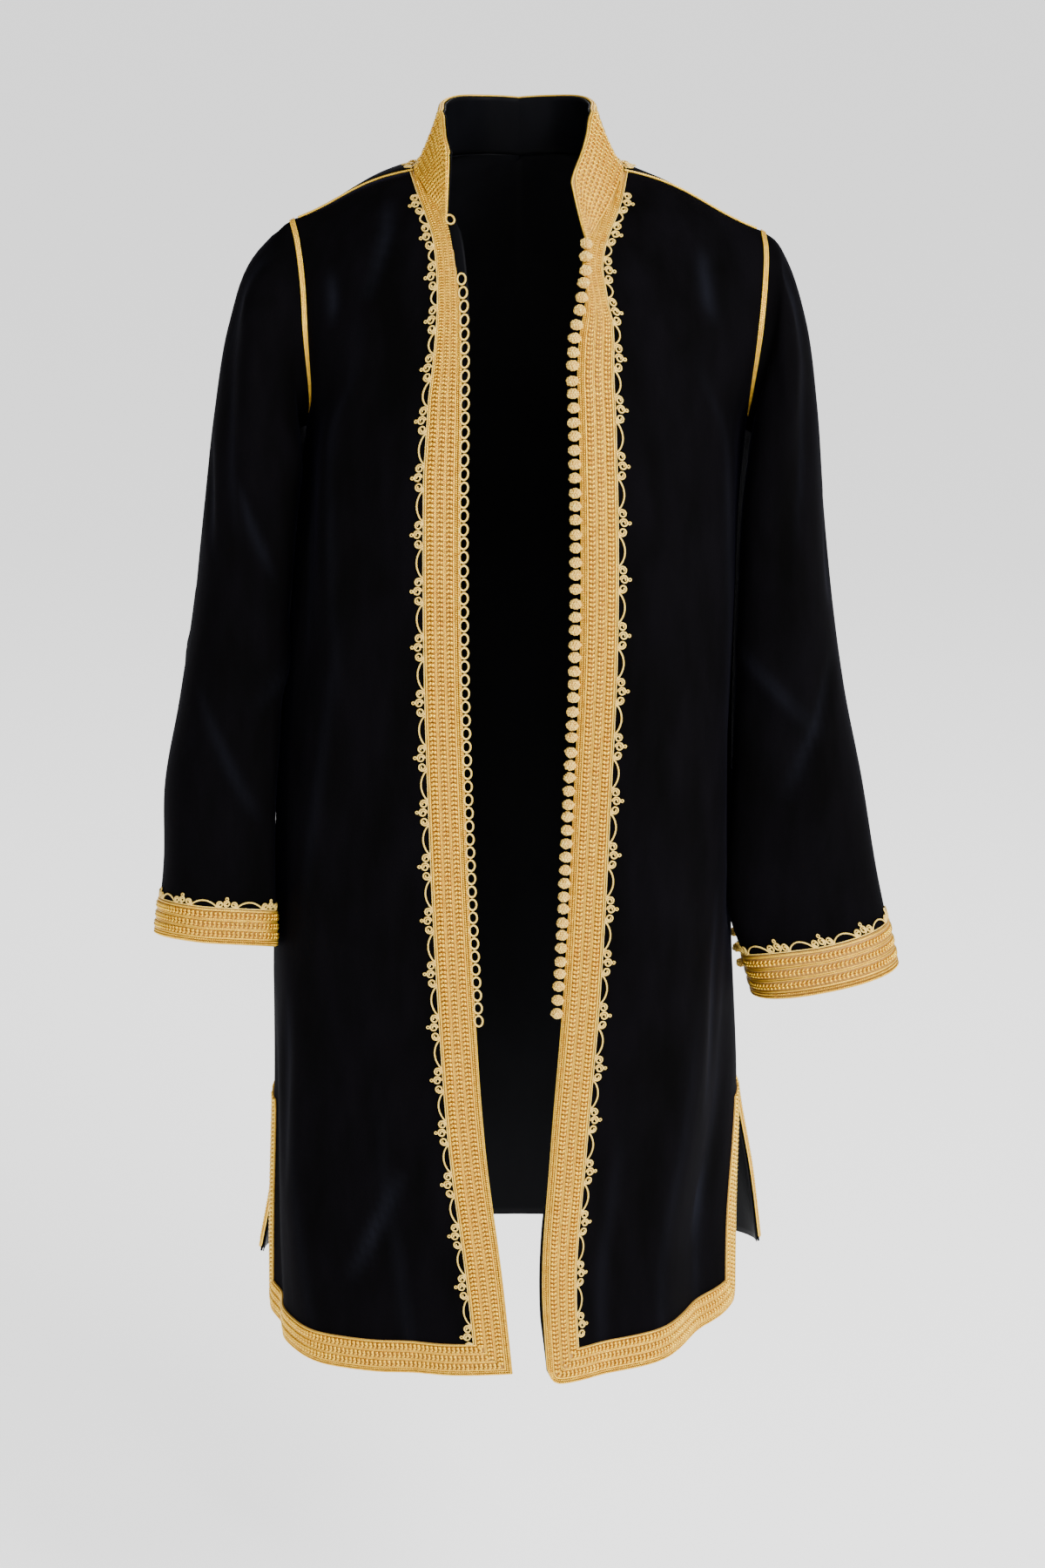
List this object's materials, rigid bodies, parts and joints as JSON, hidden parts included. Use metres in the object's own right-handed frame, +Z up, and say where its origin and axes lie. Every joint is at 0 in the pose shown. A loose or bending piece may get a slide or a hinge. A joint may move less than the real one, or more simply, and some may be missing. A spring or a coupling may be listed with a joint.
{
  "type": "knee-length open velvet jacket with gold braid",
  "caption": "Open-fronted knee-length velvet jacket in its hollow worn form, with a stand collar, long sleeves, side vents and gold braid bands, loops and ball buttons.",
  "frame": {"origin": "midway between the two points where the shoulder seams meet the neck, where the wearer's shoulders hold the coat", "axes": "+Z up along the coat's length, the front faces -Y, +X towards the wearer's left"},
  "size_m": [0.6312, 0.3486, 1.0259],
  "materials": {
    "velvet": "near-black navy velvet with a short pile and a soft bluish sheen on the folds",
    "satin": "dark blue-grey satin lining, faintly shiny",
    "braid": "gold silk and metal-thread braid of chevron plaits and fine cords",
    "cord": "pale gold twisted cord"
  },
  "bodies": {
    "root": {"front_right": "velvet", "front_left": "velvet", "back": "velvet", "sleeve_right": "velvet", "sleeve_left": "velvet", "collar": "velvet", "lining_back": "satin", "lining_collar": "satin", "facing_right": "satin", "facing_left": "satin", "band_front_right": "braid", "band_front_left": "braid", "band_back": "braid", "band_collar": "braid", "band_cuff_right": "braid", "band_cuff_left": "braid", "edging_front_right": "cord", "edging_front_left": "cord", "edging_neck": "cord", "edging_cuff_right": "cord", "edging_cuff_left": "cord", "braid_armhole_right": "cord", "braid_armhole_left": "cord", "cord_shoulder_right": "cord", "cord_shoulder_left": "cord", "button_row": "cord", "loop_row": "cord", "button_row_cuff_right": "cord", "button_row_cuff_left": "cord"}
  },
  "joints": []
}
